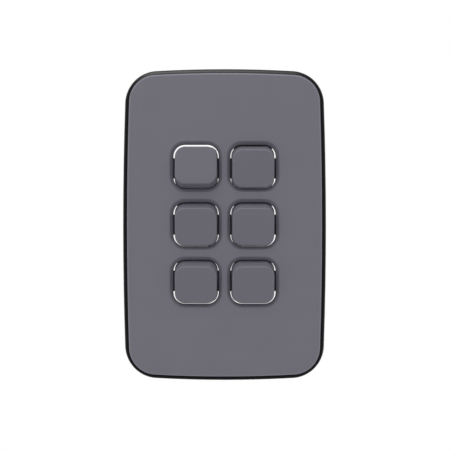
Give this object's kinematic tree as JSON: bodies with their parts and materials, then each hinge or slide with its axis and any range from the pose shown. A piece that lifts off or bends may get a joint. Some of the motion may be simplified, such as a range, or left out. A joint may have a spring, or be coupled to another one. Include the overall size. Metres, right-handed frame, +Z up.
{
  "type": "wall switch plate",
  "caption": "Tall wall switch plate with bowed sides: a cover on a black frame, and two columns of square rockers in dished openings, each on its own see-saw contact.",
  "frame": {"origin": "middle of the plate in the plane of the wall, between the two fixing holes", "axes": "+X to the right as seen from the room, +Z up, the front faces -Y and the mechanisms reach into the wall along +Y"},
  "size_m": [0.0772, 0.0266, 0.118],
  "materials": {
    "frame_black": "satin",
    "skin_anthracite": "fine grain",
    "rocker_anthracite": "fine grain",
    "actuator_nylon": "plain",
    "plunger_nylon": "plain",
    "spring_steel": "drawn",
    "contact_copper": "rolled",
    "housing_black": "plain",
    "rear_cover_black": "plain",
    "terminal_brass": "rolled",
    "screw_steel": "plated"
  },
  "bodies": {
    "plate": {"base_frame": "frame_black", "cover_plate": "skin_anthracite", "terminal_screws": "screw_steel", "housing_top_left": "housing_black", "rear_cover_top_left": "rear_cover_black", "common_terminal_top_left": "terminal_brass", "switched_terminal_top_left": "terminal_brass", "housing_top_right": "housing_black", "rear_cover_top_right": "rear_cover_black", "common_terminal_top_right": "terminal_brass", "switched_terminal_top_right": "terminal_brass", "housing_middle_left": "housing_black", "rear_cover_middle_left": "rear_cover_black", "common_terminal_middle_left": "terminal_brass", "switched_terminal_middle_left": "terminal_brass", "housing_middle_right": "housing_black", "rear_cover_middle_right": "rear_cover_black", "common_terminal_middle_right": "terminal_brass", "switched_terminal_middle_right": "terminal_brass", "housing_bottom_left": "housing_black", "rear_cover_bottom_left": "rear_cover_black", "common_terminal_bottom_left": "terminal_brass", "switched_terminal_bottom_left": "terminal_brass", "housing_bottom_right": "housing_black", "rear_cover_bottom_right": "rear_cover_black", "common_terminal_bottom_right": "terminal_brass", "switched_terminal_bottom_right": "terminal_brass"},
    "rocker_top_left": {"rocker_cap_top_left": "rocker_anthracite", "actuator_top_left": "actuator_nylon", "plunger_top_left": "plunger_nylon", "spring_top_left": "spring_steel"},
    "contact_top_left": {"moving_contact_top_left": "contact_copper"},
    "rocker_top_right": {"rocker_cap_top_right": "rocker_anthracite", "actuator_top_right": "actuator_nylon", "plunger_top_right": "plunger_nylon", "spring_top_right": "spring_steel"},
    "contact_top_right": {"moving_contact_top_right": "contact_copper"},
    "rocker_middle_left": {"rocker_cap_middle_left": "rocker_anthracite", "actuator_middle_left": "actuator_nylon", "plunger_middle_left": "plunger_nylon", "spring_middle_left": "spring_steel"},
    "contact_middle_left": {"moving_contact_middle_left": "contact_copper"},
    "rocker_middle_right": {"rocker_cap_middle_right": "rocker_anthracite", "actuator_middle_right": "actuator_nylon", "plunger_middle_right": "plunger_nylon", "spring_middle_right": "spring_steel"},
    "contact_middle_right": {"moving_contact_middle_right": "contact_copper"},
    "rocker_bottom_left": {"rocker_cap_bottom_left": "rocker_anthracite", "actuator_bottom_left": "actuator_nylon", "plunger_bottom_left": "plunger_nylon", "spring_bottom_left": "spring_steel"},
    "contact_bottom_left": {"moving_contact_bottom_left": "contact_copper"},
    "rocker_bottom_right": {"rocker_cap_bottom_right": "rocker_anthracite", "actuator_bottom_right": "actuator_nylon", "plunger_bottom_right": "plunger_nylon", "spring_bottom_right": "spring_steel"},
    "contact_bottom_right": {"moving_contact_bottom_right": "contact_copper"}
  },
  "joints": [
    {"name": "rocker_top_left_turn", "type": "hinge", "parent": "plate", "child": "rocker_top_left", "pos_m": [-0.0106, -0.0057, 0.02135], "axis": [1, 0, 0], "range_deg": [0, 15]},
    {"name": "contact_top_left_turn", "type": "hinge", "parent": "plate", "child": "contact_top_left", "pos_m": [-0.0106, 0.00415, 0.02135], "axis": [1, 0, 0], "range_deg": [-18, 0]},
    {"name": "rocker_top_right_turn", "type": "hinge", "parent": "plate", "child": "rocker_top_right", "pos_m": [0.0106, -0.0057, 0.02135], "axis": [1, 0, 0], "range_deg": [-15, 0]},
    {"name": "contact_top_right_turn", "type": "hinge", "parent": "plate", "child": "contact_top_right", "pos_m": [0.0106, 0.00415, 0.02135], "axis": [1, 0, 0], "range_deg": [0, 18]},
    {"name": "rocker_middle_left_turn", "type": "hinge", "parent": "plate", "child": "rocker_middle_left", "pos_m": [-0.0106, -0.0057, -0.00005], "axis": [1, 0, 0], "range_deg": [-15, 0]},
    {"name": "contact_middle_left_turn", "type": "hinge", "parent": "plate", "child": "contact_middle_left", "pos_m": [-0.0106, 0.00415, -0.00005], "axis": [1, 0, 0], "range_deg": [0, 18]},
    {"name": "rocker_middle_right_turn", "type": "hinge", "parent": "plate", "child": "rocker_middle_right", "pos_m": [0.0106, -0.0057, -0.00005], "axis": [1, 0, 0], "range_deg": [-15, 0]},
    {"name": "contact_middle_right_turn", "type": "hinge", "parent": "plate", "child": "contact_middle_right", "pos_m": [0.0106, 0.00415, -0.00005], "axis": [1, 0, 0], "range_deg": [0, 18]},
    {"name": "rocker_bottom_left_turn", "type": "hinge", "parent": "plate", "child": "rocker_bottom_left", "pos_m": [-0.0106, -0.0057, -0.02145], "axis": [1, 0, 0], "range_deg": [-15, 0]},
    {"name": "contact_bottom_left_turn", "type": "hinge", "parent": "plate", "child": "contact_bottom_left", "pos_m": [-0.0106, 0.00415, -0.02145], "axis": [1, 0, 0], "range_deg": [0, 18]},
    {"name": "rocker_bottom_right_turn", "type": "hinge", "parent": "plate", "child": "rocker_bottom_right", "pos_m": [0.0106, -0.0057, -0.02145], "axis": [1, 0, 0], "range_deg": [-15, 0]},
    {"name": "contact_bottom_right_turn", "type": "hinge", "parent": "plate", "child": "contact_bottom_right", "pos_m": [0.0106, 0.00415, -0.02145], "axis": [1, 0, 0], "range_deg": [0, 18]}
  ],
  "couplings": [
    {"joint": "contact_top_left_turn", "follows": "rocker_top_left_turn", "ratio": -1.2},
    {"joint": "contact_top_right_turn", "follows": "rocker_top_right_turn", "ratio": -1.2},
    {"joint": "contact_middle_left_turn", "follows": "rocker_middle_left_turn", "ratio": -1.2},
    {"joint": "contact_middle_right_turn", "follows": "rocker_middle_right_turn", "ratio": -1.2},
    {"joint": "contact_bottom_left_turn", "follows": "rocker_bottom_left_turn", "ratio": -1.2},
    {"joint": "contact_bottom_right_turn", "follows": "rocker_bottom_right_turn", "ratio": -1.2}
  ]
}
